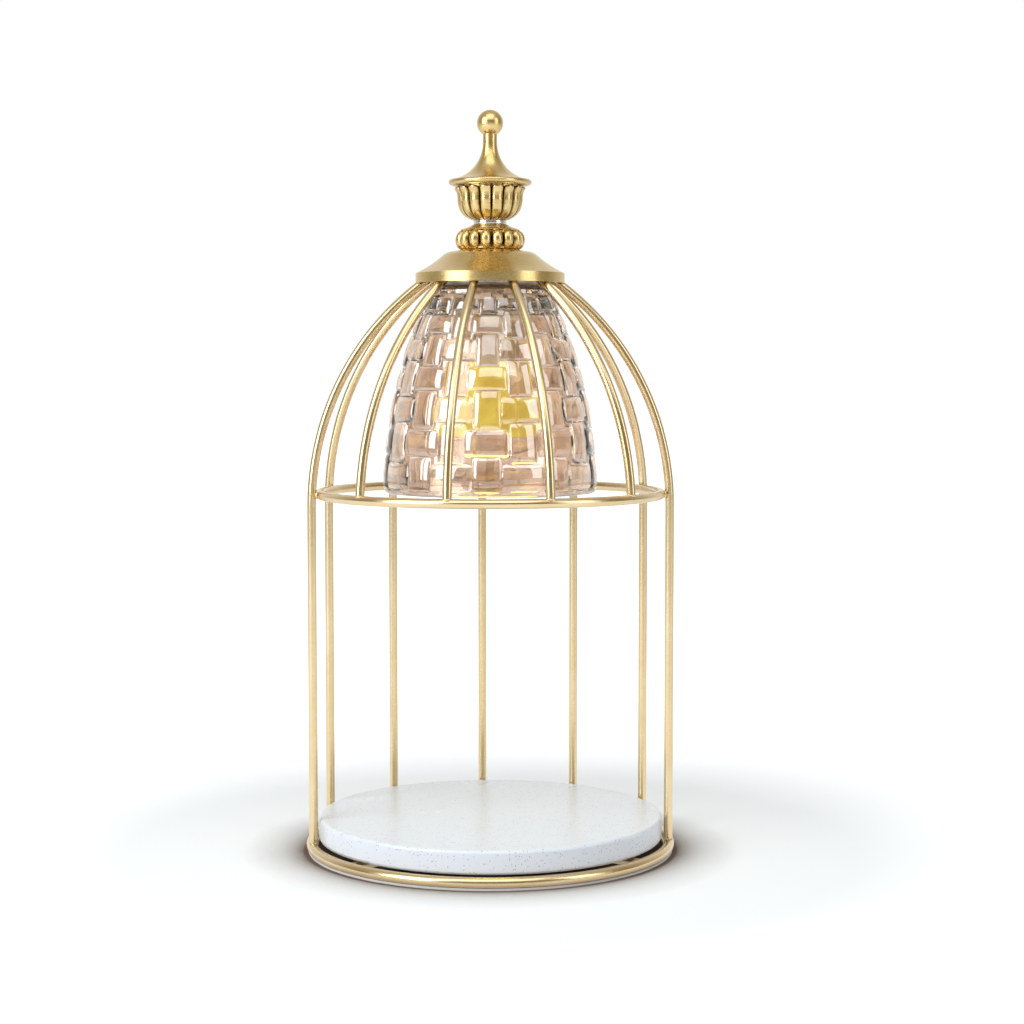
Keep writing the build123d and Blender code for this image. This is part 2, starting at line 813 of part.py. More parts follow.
shade_under_top = shade_top - shade_top_glass
with BuildPart() as glass_shade:
    with BuildSketch(Plane.XZ):
        with BuildLine():
            outside = RadiusArc(
                (shade_mouth_radius - weave_depth, shade_mouth_height),
                (shade_radius_at(shade_top, weave_depth), shade_top),
                weave_depth - shade_bow_radius,
            )
            Polyline(
                outside @ 1,
                (carrier_radius + glass_play, shade_top),
                (carrier_radius + glass_play, shade_under_top),
                (shade_radius_at(shade_under_top, shade_glass), shade_under_top),
            )
            inside = RadiusArc(
                (shade_radius_at(shade_under_top, shade_glass), shade_under_top),
                (shade_mouth_radius - shade_glass, shade_mouth_height),
                shade_bow_radius - shade_glass,
            )
            Line(inside @ 1, outside @ 0)
        make_face()
    revolve(axis=Axis.Z)
    top_rims = glass_shade.edges().filter_by(GeomType.CIRCLE).group_by(Axis.Z)[-1]
    fillet(top_rims.sort_by(SortBy.RADIUS)[-1], radius=shade_shoulder)
    fillet(
        glass_shade.edges().filter_by(GeomType.CIRCLE).group_by(Axis.Z)[0],
        radius=(shade_glass - weave_depth) / 3,
    )

column_angle = 360 / weave_columns
weave_top = shade_bow_radius * asin((shade_top - shade_shoulder - shade_mouth_height) / shade_bow_radius)
weave_bottom = weave_depth + weave_bite
tiles = []
row_place = weave_first_row
row_offset = 0
while row_place < weave_top:
    row_height = weave_row_ratio * shade_point(row_place)[0]
    for column, ratios in ((row_offset, wide_tile_ratios), (1 - row_offset, tall_tile_ratios)):
        tile_angle = column_angle * ratios[0]
        tile_low = max(row_place - row_height * ratios[1] / 2, mouth_band)
        tile_high = min(row_place + row_height * ratios[1] / 2, weave_top)
        with BuildPart() as tile:
            with BuildSketch(Plane.XZ):
                with BuildLine():
                    face = RadiusArc(shade_point(tile_low), shade_point(tile_high), -shade_bow_radius)
                    back = RadiusArc(
                        shade_point(tile_high, weave_bottom),
                        shade_point(tile_low, weave_bottom),
                        shade_bow_radius - weave_bottom,
                    )
                    Line(face @ 1, back @ 0)
                    Line(back @ 1, face @ 0)
                make_face()
            revolve(axis=Axis.Z, revolution_arc=tile_angle)
        first_turn = weave_angle + column * column_angle - tile_angle / 2 - 90
        tiles += [turn * tile.part for turn in PolarLocations(0, weave_columns // 2, first_turn)]
    row_place += row_height
    row_offset = 1 - row_offset
with glass_shade:
    add(tiles)

glass_shade.part.label = "glass_shade"
export_step(glass_shade.part, "parts/glass_shade.step")

for name, height in (("upper", shade_top), ("lower", ring_nut_top)):
    with BuildPart() as shade_gasket:
        with BuildSketch(Plane.XY.offset(height)):
            Circle(ring_nut_radius - face_gap)
            Circle(carrier_radius + seat_gap, mode=Mode.SUBTRACT)
        extrude(amount=gasket_thickness)

    shade_gasket.part.label = f"shade_gasket_{name}"
    export_step(shade_gasket.part, f"parts/shade_gasket_{name}.step")

with BuildPart() as shade_ring_nut:
    with BuildSketch(Plane.XY.offset(ring_nut_bottom)):
        Circle(ring_nut_radius)
        Circle(carrier_radius + turn_gap, mode=Mode.SUBTRACT)
        with PolarLocations(ring_nut_radius, ring_nut_scallops):
            Circle(scallop_radius, mode=Mode.SUBTRACT)
    extrude(amount=ring_nut_height)

shade_ring_nut.part.label = "shade_ring_nut"
export_step(shade_ring_nut.part, "parts/shade_ring_nut.step")

# ---- Reflector bulb ----

with BuildPart() as bulb_base:
    with BuildSketch(Plane.XY.offset(bulb_base_bottom)):
        Circle(bulb_base_radius)
        Rectangle(2 * bulb_base_radius, bulb_base_flats, mode=Mode.INTERSECT)
    extrude(amount=bulb_base_height)
    fillet(bulb_base.edges().group_by(Axis.Z)[-1], radius=bulb_rim / 2)

bulb_base.part.label = "bulb_base"
export_step(bulb_base.part, "parts/bulb_base.step")

with BuildPart() as bulb_pins:
    with BuildSketch(Plane.XY.offset(bulb_top)):
        with PolarLocations(pin_circle, 2):
            Circle(pin_radius)
    extrude(amount=pin_neck)
    with BuildSketch(Plane.XY.offset(pin_head_bottom)):
        with PolarLocations(pin_circle, 2):
            Circle(pin_head_radius)
    extrude(amount=pin_head)

bulb_pins.part.label = "bulb_pins"
export_step(bulb_pins.part, "parts/bulb_pins.step")

with BuildPart() as bulb_reflector:
    with BuildSketch(Plane.XZ):
        with BuildLine():
            back = SagittaArc(
                (bulb_radius, bulb_rim_top), (reflector_neck_radius, bulb_base_bottom), reflector_bulge
            )
            Line(back @ 1, (reflector_neck_radius - reflector_glass, bulb_base_bottom))
            front = SagittaArc(
                (reflector_neck_radius - reflector_glass, bulb_base_bottom),
                (bulb_radius - reflector_glass, bulb_rim_top),
                -reflector_bulge,
            )
            Polyline(
                front @ 1,
                (bulb_radius - reflector_glass, bulb_face),
                (bulb_radius, bulb_face),
                (bulb_radius, bulb_rim_top),
            )
        make_face()
    revolve(axis=Axis.Z)

bulb_reflector.part.label = "bulb_reflector"
export_step(bulb_reflector.part, "parts/bulb_reflector.step")

with BuildPart() as bulb_lens:
    with BuildSketch(Plane.XY.offset(bulb_face)):
        Circle(bulb_radius - reflector_glass - seat_gap)
    extrude(amount=lens_thickness)

bulb_lens.part.label = "bulb_lens"
export_step(bulb_lens.part, "parts/bulb_lens.step")

with BuildPart() as bulb_capsule:
    with BuildSketch(Plane.XY.offset(bulb_base_bottom)):
        Circle(capsule_radius)
    extrude(amount=-capsule_length)
    fillet(bulb_capsule.edges().group_by(Axis.Z)[0], radius=capsule_radius * 0.9)

bulb_capsule.part.label = "bulb_capsule"
export_step(bulb_capsule.part, "parts/bulb_capsule.step")
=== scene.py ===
from bisect import bisect_left
from math import asin, atan2, cos, pi, radians, sin, sqrt

import bmesh
import bpy
from mathutils import Euler, Matrix, Vector


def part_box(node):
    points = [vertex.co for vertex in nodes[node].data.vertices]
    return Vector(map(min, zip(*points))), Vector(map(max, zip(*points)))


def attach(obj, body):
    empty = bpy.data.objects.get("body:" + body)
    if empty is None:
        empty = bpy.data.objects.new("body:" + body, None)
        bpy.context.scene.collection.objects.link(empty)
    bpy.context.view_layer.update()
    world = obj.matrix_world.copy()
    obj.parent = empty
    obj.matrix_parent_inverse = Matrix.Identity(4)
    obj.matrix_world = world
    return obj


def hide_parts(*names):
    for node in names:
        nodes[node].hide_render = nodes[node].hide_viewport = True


# Candle warmer lamp, in metres, +Z up, with its open front facing -Y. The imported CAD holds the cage, plate,
# crown and lamp parts. The pieces made here are the pressed glass shade, the finial's gadrooned cup and
# beaded collar, and the weld beads. Angles round the lamp count from its front, anticlockwise from above.

MM = 0.001
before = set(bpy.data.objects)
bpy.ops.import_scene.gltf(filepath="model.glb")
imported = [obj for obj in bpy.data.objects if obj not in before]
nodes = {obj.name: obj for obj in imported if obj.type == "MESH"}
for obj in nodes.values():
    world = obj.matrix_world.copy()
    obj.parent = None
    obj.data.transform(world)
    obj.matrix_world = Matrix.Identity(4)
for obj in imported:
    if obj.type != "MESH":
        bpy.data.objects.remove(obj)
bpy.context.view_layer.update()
scene = bpy.context.scene

# ---- Camera and stage sizes ----

IMAGE_SIZE = 1024.0                # pixels
FOCAL_PIXELS = 2127.0
SENSOR = 36.0                      # millimetres
CAMERA_PLACE = Vector((-0.0450, -0.9169, 0.2100))
CAMERA_YAW = radians(-3.396)       # turned to the right of +Y
CAMERA_PITCH = radians(-3.95)      # looking slightly down
CAMERA_NEAR = 0.02                 # what is nearer to the camera isn't drawn
FLOOR_SIZE = 12.0
FLOOR_RING = (0.16, 0.42)          # from the lamp's axis: where the floor turns from shaded to white
FLOOR_LIFT = 0.20                  # how much the shaded floor glows for the camera
FLOOR_MIRRORED = 0.5               # how much the floor glows in reflections
FLOOR_COLOUR = (0.80, 0.81, 0.82)
# Painted contact shadow: the floor's colour turns brown where nearby pieces close off its sky
CONTACT_SHADOW_COLOUR = (0.17, 0.12, 0.095)
CONTACT_REACH = 34 * MM            # how near a piece has to be to darken the floor
CONTACT_OPEN = (0.68, 1.0)         # open share of the floor's sky, from darkest to pale
CEILING_RISE = (0.45, 0.95)        # upward part of a direction where the studio's ceiling brightens
STUDIO_WHITE = (0.92, 0.965, 1.0)  # colour of the softboxes

# ---- Shade: sizes of the bell and of its pressed basket weave ----

SHADE_BOW = 195 * MM               # radius of the bell's outline
SHADE_MOUTH = 46.58 * MM           # outside radius at the mouth
SHADE_GLASS = 3 * MM               # from the tiles' outside to the inside
SHADE_TOP_GLASS = 4 * MM
SHADE_SHOULDER = 2.5 * MM
SHADE_HOLE = 15.8 * MM             # radius of the hole in the top
HOLE_EDGE = 0.5 * MM               # its broken upper edge
MOUTH_BAND = 1.9 * MM              # smooth rim below the weave
BAND_BEND = 0.85                   # share of the band below the slope to the weave's ground
INNER_REACH = 0.97                 # share of the way up that the round inside goes
INNER_WAVE = 0.07 * MM             # unevenness of the pressed inside
INNER_CALM = 1 / 6                 # share of the inside, at each end, where the unevenness fades out
WEAVE_COLUMNS = 18
WEAVE_TURN = radians(15.5)         # angle of a column's centre
WEAVE_FIRST_ROW = 8.2 * MM         # along the outline, from the mouth to the first row's centre
WEAVE_PITCH = 0.312                # distance between rows, as a share of the radius there
WEAVE_REACH = 100 * MM             # rows are laid out to beyond this, which is past the shade's top
WEAVE_DEPTH = 1.5 * MM             # from the tiles' outside to the ground between them
WEAVE_START = 0.6 * MM             # length above the mouth band over which the tiles rise
WEAVE_FADE = (1.2 * MM, 0.4 * MM)  # distances below the shoulder between which they sink
LIP_INSET = 0.6                    # how far the lip is set in, as a share of the weave's depth
SHOULDER_INSET = 0.7               # the same for the start of the shoulder

# A tile's half width in columns and half height in rows, then how far it falls to its sides and to its ends
WIDE_TILE = (0.605, 0.395, 0.34, 0.32)
TALL_TILE = (0.385, 0.598, 0.42, 0.28)
TILE_CORNERS = 8                   # the higher, the squarer a tile's corners
TILE_SIDES = 0.4                   # the lower, the steeper a tile's sides
TILE_LEAN = (0.10, 0.07)           # how much a tile may lean sideways, and up or down
TILE_SINK = 0.08                   # how far a tile's middle stays below the weave's full height

# Where points stand, as shares of a column or row from its centre: they crowd together at the tiles' edges
COLUMN_STEPS = (0.0, 0.10, 0.20, 0.265, 0.30, 0.322, 0.338, 0.36, 0.383, 0.408, 0.428, 0.445, 0.47)
ROW_STEPS = (0.0, 0.12, 0.22, 0.30, 0.335, 0.358, 0.378, 0.40, 0.415, 0.435, 0.47)
RING_GAP = 0.12 * MM               # a ring of points nearer than this to the one below is left out
INNER_STEPS = 36
ROUND_STEPS = 6                    # of the lip and of the shoulder

# ---- Finial, in millimetres; a profile lists radius and height above the foot, rising ----

CUP_PROFILE = (
    (8.0, 0.0), (9.2, 0.5), (10.6, 1.3), (11.9, 2.4), (12.9, 3.8), (13.6, 5.6), (14.0, 7.6),
    (14.1, 9.6), (14.3, 11.2), (14.9, 12.4), (15.5, 13.4), (15.7, 14.4),
)
CUP_LOBES = 16
CUP_STEPS = 36
LOBE_STEPS = (-1.0, -0.975, -0.93, -0.84, -0.68, -0.45, -0.15, 0.15, 0.45, 0.68, 0.84, 0.93, 0.975)
LOBE_GAP = 0.45                    # the lobes end this far below the rim
LOBE_ROUND = 1.3                   # how much lower a groove ends than a lobe's middle
LOBE_CURL = 1.6                    # how far the lobes' tops curl in
LOBE_CURL_FROM = 0.93              # share of the lobes' height where that starts
GROOVE_DEPTH = 1.7
GROOVE_FOOT = 0.25                 # share of that depth at the foot
GROOVE_FULL = 0.5                  # share of the lobes' height where the groove reaches its depth
CUP_CORE = 12.6                    # radius of the rim behind the lobes
CUP_RIM = 2.0                      # width of that rim
CUP_BORE = 5.0                     # radius
CUP_FLOOR = 2.0                    # thickness at the bore

BEAD_BAND = (1.1, 8.3)             # heights of the collar's neck, which the beads stand round
COLLAR_PROFILE = (
    (5.4, 0.0), (12.9, 0.0), (13.1, 0.3), (12.6, 0.75), (11.9, BEAD_BAND[0]), (11.9, BEAD_BAND[1]),
    (12.5, 8.6), (12.75, 8.9), (12.5, 9.2), (11.6, 9.6), (9.8, 10.2), (8.5, 10.7), (7.9, 11.2),
)
COLLAR_BORE = 5.4                  # radius
COLLAR_SIDES = 96                  # of its round neck, as a polygon
COLLAR_BEADS = 16
BEAD_RADIUS = 12.3                 # from the axis to a bead's middle
BEAD_MIDDLE = 4.75
BEAD_HALF = (2.5, 2.75, 3.95)      # half a bead's width, depth and height

# ---- Cage ----

RIB_PLACES = 11                    # round the cage, one of them straight at the back
OPEN_ANGLE = 65.0                  # ribs nearer than this to the front end on the waist ring
WAIST_RADIUS = 73.69 * MM
RIB_RADIUS = 77.4 * MM             # of the straight legs


# ---- Helpers for shapes ----

def mesh_object(name, bm, material, sharp=None):
    """An object from a filled bmesh, which is used up; sharp is the angle of its hard edges."""
    bmesh.ops.recalc_face_normals(bm, faces=bm.faces)
    mesh = bpy.data.meshes.new(name)
    bm.to_mesh(mesh)
    bm.free()
    mesh.shade_smooth()
    if sharp is not None:
        mesh.set_sharp_from_angle(angle=sharp)
    mesh.materials.append(material)
    piece = bpy.data.objects.new(name, mesh)
    scene.collection.objects.link(piece)
    return piece


def lathe(bm, rings, count):
    """Joins rings of points, and the last ring to the first; a ring is a function from a point's number."""
    rows = [[bm.verts.new(ring(k)) for k in range(count)] for ring in rings]
    for low, high in zip(rows, rows[1:] + rows[:1]):
        for k in range(count):
            beside = (k + 1) % count
            bm.faces.new((low[k], low[beside], high[beside], high[k]))


def bead(bm, centre, half, turn, segments):
    """An ellipsoid at an angle; half is half its width, depth and height, in millimetres."""
    shape = Matrix.LocRotScale(centre, Euler((0, 0, turn)), Vector(half) * MM)
    bmesh.ops.create_uvsphere(bm, u_segments=segments[0], v_segments=segments[1], radius=1.0, matrix=shape)


def polar(radius, angle, height):
    return Vector((radius * sin(angle), -radius * cos(angle), height))


def level_ring(angles, radius, height):
    return lambda k: polar(radius, angles[k], height)


def smooth_step(low, high, value):
    """Rises softly from 0 at low to 1 at high."""
    share = min(max((value - low) / (high - low), 0.0), 1.0)
    return share * share * (3 - 2 * share)


# ---- Helpers for materials ----

HARD_EDGE = radians(38)            # CAD edges sharper than this stay hard
NOISE_RANGE = (0.3, 0.7)           # where most values of a noise texture lie
METAL_MARKS = 0.01 * MM            # height of the marks in metal
TURNED_RUN = 6 * MM                # how far the noise runs in a radian round a turned part
# Painted shade in the grooves between the lobes of the finial's cup and collar
GROOVE_SHADE_COLOUR = (0.16, 0.09, 0.02)
GROOVE_SHADE_COSINE = (0.45, 0.95)       # from a groove's pale sides to its dark bottom, where the cosine is 1
GROOVE_SHADE_FADE = 0.5 * MM             # height over which it ends


def node(tree, kind, **settings):
    made = tree.nodes.new(kind)
    for name, value in settings.items():
        setattr(made, name, value)
    return made


def feed(tree, socket, term):
    """Gives an input another node's output, or a number or colour of its own."""
    if isinstance(term, bpy.types.NodeSocket):
        tree.links.new(term, socket)
    elif isinstance(term, tuple):
        socket.default_value = (*term, 1)
    else:
        socket.default_value = term


def empty_material(name):
    """A material with its output node only."""
    material = bpy.data.materials.new(name)
    material.use_nodes = True
    tree = material.node_tree
    tree.nodes.clear()
    return material, tree, node(tree, "ShaderNodeOutputMaterial")


def new_material(name, **values):
    """A material with a Principled shader; values are numbers for its inputs, such as coat_ior=2.3."""
    material, tree, output = empty_material(name)
    shader = node(tree, "ShaderNodeBsdfPrincipled")
    tree.links.new(shader.outputs[0], output.inputs[0])
    for words, value in values.items():
        shader.inputs[words.replace("_", " ").title().replace("Ior", "IOR")].default_value = value
    return material, tree, shader


def object_point(tree):
    return node(tree, "ShaderNodeTexCoord").outputs["Object"]


def split_point(tree):
    """X, Y and Z of a place on the object."""
    split = node(tree, "ShaderNodeSeparateXYZ")
    tree.links.new(object_point(tree), split.inputs[0])
    return split.outputs


def combined(tree, *parts):
    """A vector of up to three parts."""
    made = node(tree, "ShaderNodeCombineXYZ")
    for socket, part in zip(made.inputs, parts):
        tree.links.new(part, socket)
    return made.outputs[0]


def length(tree, vector):
    made = node(tree, "ShaderNodeVectorMath", operation="LENGTH")
    tree.links.new(vector, made.inputs[0])
    return made.outputs["Value"]


def computed(tree, operation, *terms):
    """What a Math node makes of numbers or other nodes' outputs."""
    made = node(tree, "ShaderNodeMath", operation=operation)
    for socket, term in zip(made.inputs, terms):
        feed(tree, socket, term)
    return made.outputs[0]


def spread(tree, value, source, target=(0.0, 1.0)):
    """A value moved from one range to another, and kept inside it."""
    ranged = node(tree, "ShaderNodeMapRange")
    for name, number in zip(("From Min", "From Max", "To Min", "To Max"), (*source, *target)):
        ranged.inputs[name].default_value = number
    tree.links.new(value, ranged.inputs["Value"])
    return ranged.outputs[0]


def mixed(tree, share, first, second):
    """A mix of two colours, or of nodes' outputs: all of the first where share is 0, of the second at 1."""
    made = node(tree, "ShaderNodeMix", data_type="RGBA")
    for name, term in (("Factor", share), ("A", first), ("B", second)):
        feed(tree, made.inputs[name], term)
    return made.outputs["Result"]


def dimmed(colour, share):
    return tuple(share * part for part in colour)


def noise(tree, point, scale, detail=3.0, roughness=0.5):
    texture = node(tree, "ShaderNodeTexNoise")
    for name, number in (("Scale", scale), ("Detail", detail), ("Roughness", roughness)):
        texture.inputs[name].default_value = number
    tree.links.new(point, texture.inputs["Vector"])
    return texture.outputs["Fac"]


def bumped(tree, shader, value, strength, distance):
    bump = node(tree, "ShaderNodeBump")
    bump.inputs["Strength"].default_value = strength
    bump.inputs["Distance"].default_value = distance
    tree.links.new(value, bump.inputs["Height"])
    tree.links.new(bump.outputs[0], shader.inputs["Normal"])


def turned_point(tree):
    """Coordinates that follow a turned part: radius and height run fast, the angle runs slowly."""
    x, y, height = split_point(tree)
    slow = computed(tree, "MULTIPLY", computed(tree, "ARCTAN2", x, y), TURNED_RUN)
    return combined(tree, length(tree, combined(tree, x, y)), height, slow)


# ---- Materials ----

def plated_wire():
    """Champagne-gold plating on drawn wire: soft cloudy tone and faint drawing marks."""
    material, tree, shader = new_material("plated_wire", metallic=1.0)
    pale, deep = (0.73, 0.585, 0.36), (0.67, 0.52, 0.295)
    point = object_point(tree)
    cloud = noise(tree, point, scale=45.0, detail=2.0)
    tree.links.new(mixed(tree, spread(tree, cloud, NOISE_RANGE), pale, deep), shader.inputs["Base Color"])
    marks = noise(tree, point, scale=700.0, roughness=0.6)
    tree.links.new(spread(tree, marks, NOISE_RANGE, (0.20, 0.26)), shader.inputs["Roughness"])
    bumped(tree, shader, marks, strength=0.01, distance=METAL_MARKS)
    return material


def groove_shade(tree, tone, lobes, band):
    """Painted shade: darkens a tone in the grooves between lobes that stand round the lamp's axis, at heights
    in a band.
    """
    x, y, height = split_point(tree)
    turns = computed(tree, "MULTIPLY", computed(tree, "ARCTAN2", x, y), lobes)
    groove = spread(tree, computed(tree, "COSINE", turns), GROOVE_SHADE_COSINE)
    above_foot = spread(tree, height, (band[0], band[0] + GROOVE_SHADE_FADE))
    below_top = spread(tree, height, (band[1] - GROOVE_SHADE_FADE, band[1]), (1.0, 0.0))
    inside = computed(tree, "MULTIPLY", above_foot, below_top)
    return mixed(tree, computed(tree, "MULTIPLY", groove, inside), tone, GROOVE_SHADE_COLOUR)


def satin_gold(name, lobes=0, band=(0.0, 1.0)):
    """Antique gold on turned parts: fine lathe lines, browner patches, painted shade in the grooves between
    any lobes.
    """
    material, tree, shader = new_material(name, metallic=1.0)
    pale, deep = (0.70, 0.53, 0.25), (0.61, 0.44, 0.175)
    cloud = noise(tree, object_point(tree), scale=120.0)
    tone = mixed(tree, spread(tree, cloud, NOISE_RANGE), pale, deep)
    if lobes:
        tone = groove_shade(tree, tone, lobes, band)
    tree.links.new(tone, shader.inputs["Base Color"])
    lines = noise(tree, turned_point(tree), scale=2600.0, detail=2.0, roughness=0.6)
    tree.links.new(spread(tree, lines, NOISE_RANGE, (0.25, 0.30)), shader.inputs["Roughness"])
    bumped(tree, shader, lines, strength=0.012, distance=METAL_MARKS)
    return material


def plain_metal(name, colour, rough):
    """Metal with marks that run round the lamp's axis."""
    material, tree, shader = new_material(name, metallic=1.0)
    marks = noise(tree, turned_point(tree), scale=1800.0, detail=2.0)
    tree.links.new(mixed(tree, marks, dimmed(colour, 0.86), colour), shader.inputs["Base Color"])
    tree.links.new(spread(tree, marks, NOISE_RANGE, (0.8 * rough, 1.2 * rough)), shader.inputs["Roughness"])
    return material


def moulded(name, colour, rough):
    """Ceramic, plastic or rubber with a fine grain."""
    material, tree, shader = new_material(name)
    grain = noise(tree, object_point(tree), scale=1500.0)
    tree.links.new(mixed(tree, grain, dimmed(colour, 0.93), colour), shader.inputs["Base Color"])
    tree.links.new(spread(tree, grain, NOISE_RANGE, (0.85 * rough, 1.1 * rough)), shader.inputs["Roughness"])
    bumped(tree, shader, grain, strength=0.15, distance=0.06 * MM)
    return material


def terrazzo():
    """Honed white stone: fine grey and tan specks, faint grey chips, a low polish."""
    material, tree, shader = new_material("terrazzo")
    point = object_point(tree)

    def chips(scale, size, share, seed):
        """Where a share of all cells have their chip, from 0 to 1, and a number for each cell."""
        moved = node(tree, "ShaderNodeVectorMath", operation="ADD")
        moved.inputs[1].default_value = (seed, seed * 0.7, seed * 1.3)
        tree.links.new(point, moved.inputs[0])
        cells = node(tree, "ShaderNodeTexVoronoi", feature="F1")
        cells.inputs["Scale"].default_value = scale
        tree.links.new(moved.outputs[0], cells.inputs["Vector"])
        near = spread(tree, cells.outputs["Distance"], (0.75 * size, size), (1.0, 0.0))
        pick = node(tree, "ShaderNodeSeparateColor")
        tree.links.new(cells.outputs["Color"], pick.inputs[0])
        chosen = computed(tree, "LESS_THAN", pick.outputs[0], share)
        return computed(tree, "MULTIPLY", near, chosen), pick.outputs[1]

    cloud = noise(tree, point, scale=40.0)
    stone = mixed(tree, cloud, (0.78, 0.81, 0.87), (0.81, 0.835, 0.885))
    faint, _ = chips(scale=900.0, size=0.36, share=0.30, seed=11.0)
    stone = mixed(tree, computed(tree, "MULTIPLY", faint, 0.25), stone, (0.72, 0.73, 0.74))
    specks, number = chips(scale=1250.0, size=0.34, share=0.18, seed=23.0)
    speck_colour = mixed(tree, number, (0.16, 0.15, 0.12), (0.46, 0.44, 0.40))
    stone = mixed(tree, computed(tree, "MULTIPLY", specks, 0.85), stone, speck_colour)
    tree.links.new(stone, shader.inputs["Base Color"])
    tree.links.new(spread(tree, cloud, NOISE_RANGE, (0.26, 0.36)), shader.inputs["Roughness"])
    bumped(tree, shader, noise(tree, point, scale=600.0), strength=0.04, distance=0.05 * MM)
    return material


def lustre_glass():
    """Champagne-amber pressed glass with a lustre coat that mirrors the lights."""
    material, tree, shader = new_material(
        "lustre_glass", roughness=0.02, ior=1.5, transmission_weight=1.0,
        coat_weight=1.0, coat_roughness=0.04, coat_ior=2.3,
    )
    pale, deep = (0.84, 0.69, 0.57), (0.69, 0.50, 0.375)
    cloud = noise(tree, object_point(tree), scale=90.0, detail=2.0)
    tree.links.new(mixed(tree, spread(tree, cloud, (0.40, 0.60)), pale, deep), shader.inputs["Base Color"])
    return material


def glowing(name, light, strength, base, rough):
    """A lit lamp part: its own finish, with light of its own."""
    material, tree, shader = new_material(name, roughness=rough, emission_strength=strength)
    shader.inputs["Emission Color"].default_value = (*light, 1)
    fine = noise(tree, object_point(tree), scale=500.0, detail=2.0)
    tree.links.new(mixed(tree, fine, dimmed(base, 0.9), base), shader.inputs["Base Color"])
    return material


def coat(material, *names):
    """Gives CAD nodes a material."""
    for name in names:
        mesh = nodes[name].data
        mesh.materials.clear()
        mesh.materials.append(material)
        mesh.shade_smooth()
        mesh.set_sharp_from_angle(angle=HARD_EDGE)


wire_gold = plated_wire()
# the cup's and the collar's gold carry painted shade in their grooves
cup_gold = satin_gold("groove_shaded_gold", CUP_LOBES)
collar_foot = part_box("beaded_collar")[0].z
bead_band = [collar_foot + height * MM for height in BEAD_BAND]
bead_gold = satin_gold("beaded_gold", COLLAR_BEADS, bead_band)
ribs = [name for name in nodes if "_rib_" in name]
coat(wire_gold, "base_ring", "waist_ring", "cross_wire_long", "cross_wire_front", "cross_wire_rear", *ribs)
coat(satin_gold("satin_gold"), "dome_cap", "beaded_collar", "fluted_cup", "finial_lid", "finial_ball")
coat(plain_metal("polished_silver", (0.86, 0.85, 0.83), 0.16), "neck_ring")
coat(plain_metal("zinc_steel", (0.66, 0.65, 0.62), 0.35), "crown_hub", "threaded_tube", "tube_nut",
     "ball_stud", "socket_screws", "bulb_pins")
coat(plain_metal("satin_nickel", (0.86, 0.83, 0.78), 0.4), "shade_carrier", "shade_ring_nut")
coat(plain_metal("contact_brass", (0.75, 0.58, 0.26), 0.35), "socket_contacts")
coat(terrazzo(), "stone_plate")
coat(moulded("ceramic", (0.86, 0.85, 0.82), 0.5), "lamp_socket", "bulb_base")
coat(moulded("white_plastic", (0.82, 0.81, 0.77), 0.45), "cord_bush")
coat(moulded("silicone", (0.80, 0.79, 0.76), 0.6), "plate_pads", "shade_gasket_upper",
     "shade_gasket_lower", "socket_lead_near", "socket_lead_far", "foot_strip")
bulb_light = (0.92, 0.89, 0.10)
coat(glowing("lit_reflector", bulb_light, 0.95, (0.50, 0.40, 0.12), 0.2), "bulb_reflector")
coat(glowing("lit_capsule", bulb_light, 3.0, (0.70, 0.62, 0.30), 0.2), "bulb_capsule")
coat(glowing("lit_lens", bulb_light, 4.0, (0.60, 0.50, 0.20), 0.3), "bulb_lens")


# ---- Glass shade ----

shade_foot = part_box("glass_shade")[0].z
shade_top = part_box("glass_shade")[1].z
column_turn = 2 * pi / WEAVE_COLUMNS


def shade_outline(along, inset=0.0):
    """Radius and height at a distance along the outside from the mouth, set in from the outside."""
    turn = along / SHADE_BOW
    reach = SHADE_BOW - inset
    return SHADE_MOUTH - SHADE_BOW + reach * cos(turn), shade_foot + reach * sin(turn)


def weave_rows():
    """How far along the outline each row of the weave has its centre."""
    rows = [WEAVE_FIRST_ROW]
    while rows[-1] < WEAVE_REACH:
        rows.append(rows[-1] + WEAVE_PITCH * shade_outline(rows[-1])[0])
    return rows


def row_number(along, rows):
    """Row coordinate at a distance along the outline: whole numbers are row centres."""
    index = max(bisect_left(rows, along) - 1, 0)
    return index + (along - rows[index]) / (rows[index + 1] - rows[index])


def tile_height(across, up, form, seed):
    """Height of a rounded tile, 0 to about 1, at a place in columns and rows from its centre."""
    half_width, half_height, side_fall, end_fall = form
    x, y = across / half_width, up / half_height
    edge = abs(x) ** TILE_CORNERS + abs(y) ** TILE_CORNERS
    if edge >= 1:
        return 0.0
    lean = TILE_LEAN[0] * sin(12.9 * seed) * x + TILE_LEAN[1] * sin(7.7 * seed + 2) * y
    crown = 1 - TILE_SINK - side_fall * x * x - end_fall * y * y + lean
    return crown * (1 - edge) ** TILE_SIDES


def relief(angle, row):
    """Height of the weave, 0 to about 1: wide and tall tiles take turns along columns and rows."""
    across = (angle - WEAVE_TURN) / column_turn
    nearest = round(across)
    heights = [0.0]
    for column in (nearest - 1, nearest, nearest + 1):
        odd = column % 2
        wide_row = 2 * round((row - odd) / 2) + odd
        tiles = ((wide_row - 1, TALL_TILE), (wide_row, WIDE_TILE), (wide_row + 1, TALL_TILE))
        for tile_row, form in tiles:
            seed = column % WEAVE_COLUMNS + 0.37 * tile_row  # each tile leans its own way
            heights.append(tile_height(across - column, row - tile_row, form, seed))
    return max(heights)


